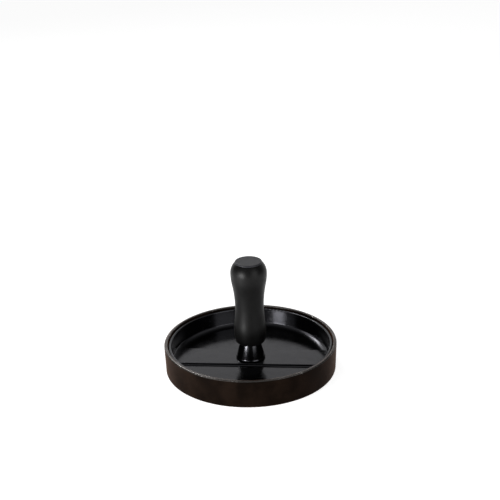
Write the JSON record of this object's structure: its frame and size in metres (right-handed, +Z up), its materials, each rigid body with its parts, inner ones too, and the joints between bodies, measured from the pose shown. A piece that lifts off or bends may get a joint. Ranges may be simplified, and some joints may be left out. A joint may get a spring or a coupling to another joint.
{
  "type": "burger press",
  "caption": "Round two-part burger press: a shallow cast mould and a lift-out plunger plate with a flared boss and a pear-shaped handle.",
  "frame": {"origin": "centre of the mould's foot ring, on the surface that the press stands on", "axes": "+Z up along the press's own axis, +X along the stiffening bar and the ridges"},
  "size_m": [0.12, 0.12, 0.08],
  "materials": {
    "coated_casting": "satin black non-stick coating on cast aluminium",
    "handle_plastic": "matte black moulded thermoset",
    "cap_plastic": "matte black moulded plastic",
    "zinc_steel": "bright zinc plated steel"
  },
  "bodies": {
    "mould": {"mould_dish": "coated_casting"},
    "plunger": {"press_plate": "coated_casting", "handle_grip": "handle_plastic", "handle_end_cap": "cap_plastic", "handle_bolt": "zinc_steel", "flat_washer": "zinc_steel", "spring_washer": "zinc_steel"}
  },
  "joints": [
    {"name": "press_lift", "type": "slide", "parent": "mould", "child": "plunger", "axis": [0, 0, 1], "range_m": [0, 0.04]}
  ]
}
